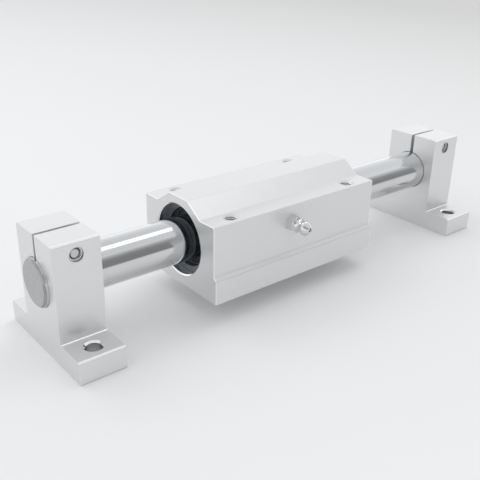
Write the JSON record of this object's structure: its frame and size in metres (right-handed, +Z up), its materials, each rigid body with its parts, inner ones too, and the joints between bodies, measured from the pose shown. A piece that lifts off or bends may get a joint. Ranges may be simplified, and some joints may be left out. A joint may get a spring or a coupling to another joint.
{
  "type": "linear ball bushing guide",
  "caption": "Long pillow block with two ball bushings, sliding on a round steel shaft held at both ends in split clamping supports.",
  "frame": {"origin": "centre of the near support's base face, on the mounting plane", "axes": "+X along the shaft from the near support to the far one, +Z up from the mounting plane, so +Y is the side of the block away from the grease nipple"},
  "size_m": [0.25, 0.067, 0.051],
  "materials": {
    "case_aluminium": "clear anodised, satin, almost white",
    "support_aluminium": "clear anodised, satin, bright machined edges",
    "shaft_chrome": "hard chromed and ground, mirror bright",
    "bearing_steel": "ground bearing steel, lightly oiled",
    "ball_steel": "polished bearing balls",
    "cage_plastic": "moulded resin, dark",
    "seal_rubber": "black nitrile, matt",
    "spring_steel": "blackened spring steel",
    "screw_steel": "zinc plated steel",
    "nipple_plating": "zinc plated, bright"
  },
  "bodies": {
    "rail": {"shaft": "shaft_chrome", "near_support": "support_aluminium", "far_support": "support_aluminium", "near_clamp_screw": "screw_steel", "far_clamp_screw": "screw_steel"},
    "bushings": {"near_sleeve": "bearing_steel", "near_cage": "cage_plastic", "near_balls_1": "ball_steel", "near_balls_2": "ball_steel", "near_balls_3": "ball_steel", "near_balls_4": "ball_steel", "near_balls_5": "ball_steel", "near_seal": "seal_rubber", "near_outer_ring": "spring_steel", "near_inner_ring": "spring_steel", "far_sleeve": "bearing_steel", "far_cage": "cage_plastic", "far_balls_1": "ball_steel", "far_balls_2": "ball_steel", "far_balls_3": "ball_steel", "far_balls_4": "ball_steel", "far_balls_5": "ball_steel", "far_seal": "seal_rubber", "far_outer_ring": "spring_steel", "far_inner_ring": "spring_steel"},
    "block": {"case": "case_aluminium", "near_circlip": "spring_steel", "far_circlip": "spring_steel", "nipple_body": "nipple_plating", "nipple_spring": "spring_steel"},
    "check_ball": {"nipple_ball": "ball_steel"}
  },
  "joints": [
    {"name": "block_slide", "type": "slide", "parent": "rail", "child": "bushings", "axis": [1, 0, 0], "range_m": [-0.0445, 0.0615]},
    {"name": "block_tilt", "type": "hinge", "parent": "bushings", "child": "block", "pos_m": [0.103, 0, 0.031], "axis": [1, 0, 0], "range_deg": [-26, 26]},
    {"name": "nipple_check", "type": "slide", "parent": "block", "child": "check_ball", "axis": [0, 1, 0], "range_m": [0, 0.0008], "stiffness_N_per_m": 300, "springref_m": -0.002, "deforming": ["nipple_spring"]}
  ]
}
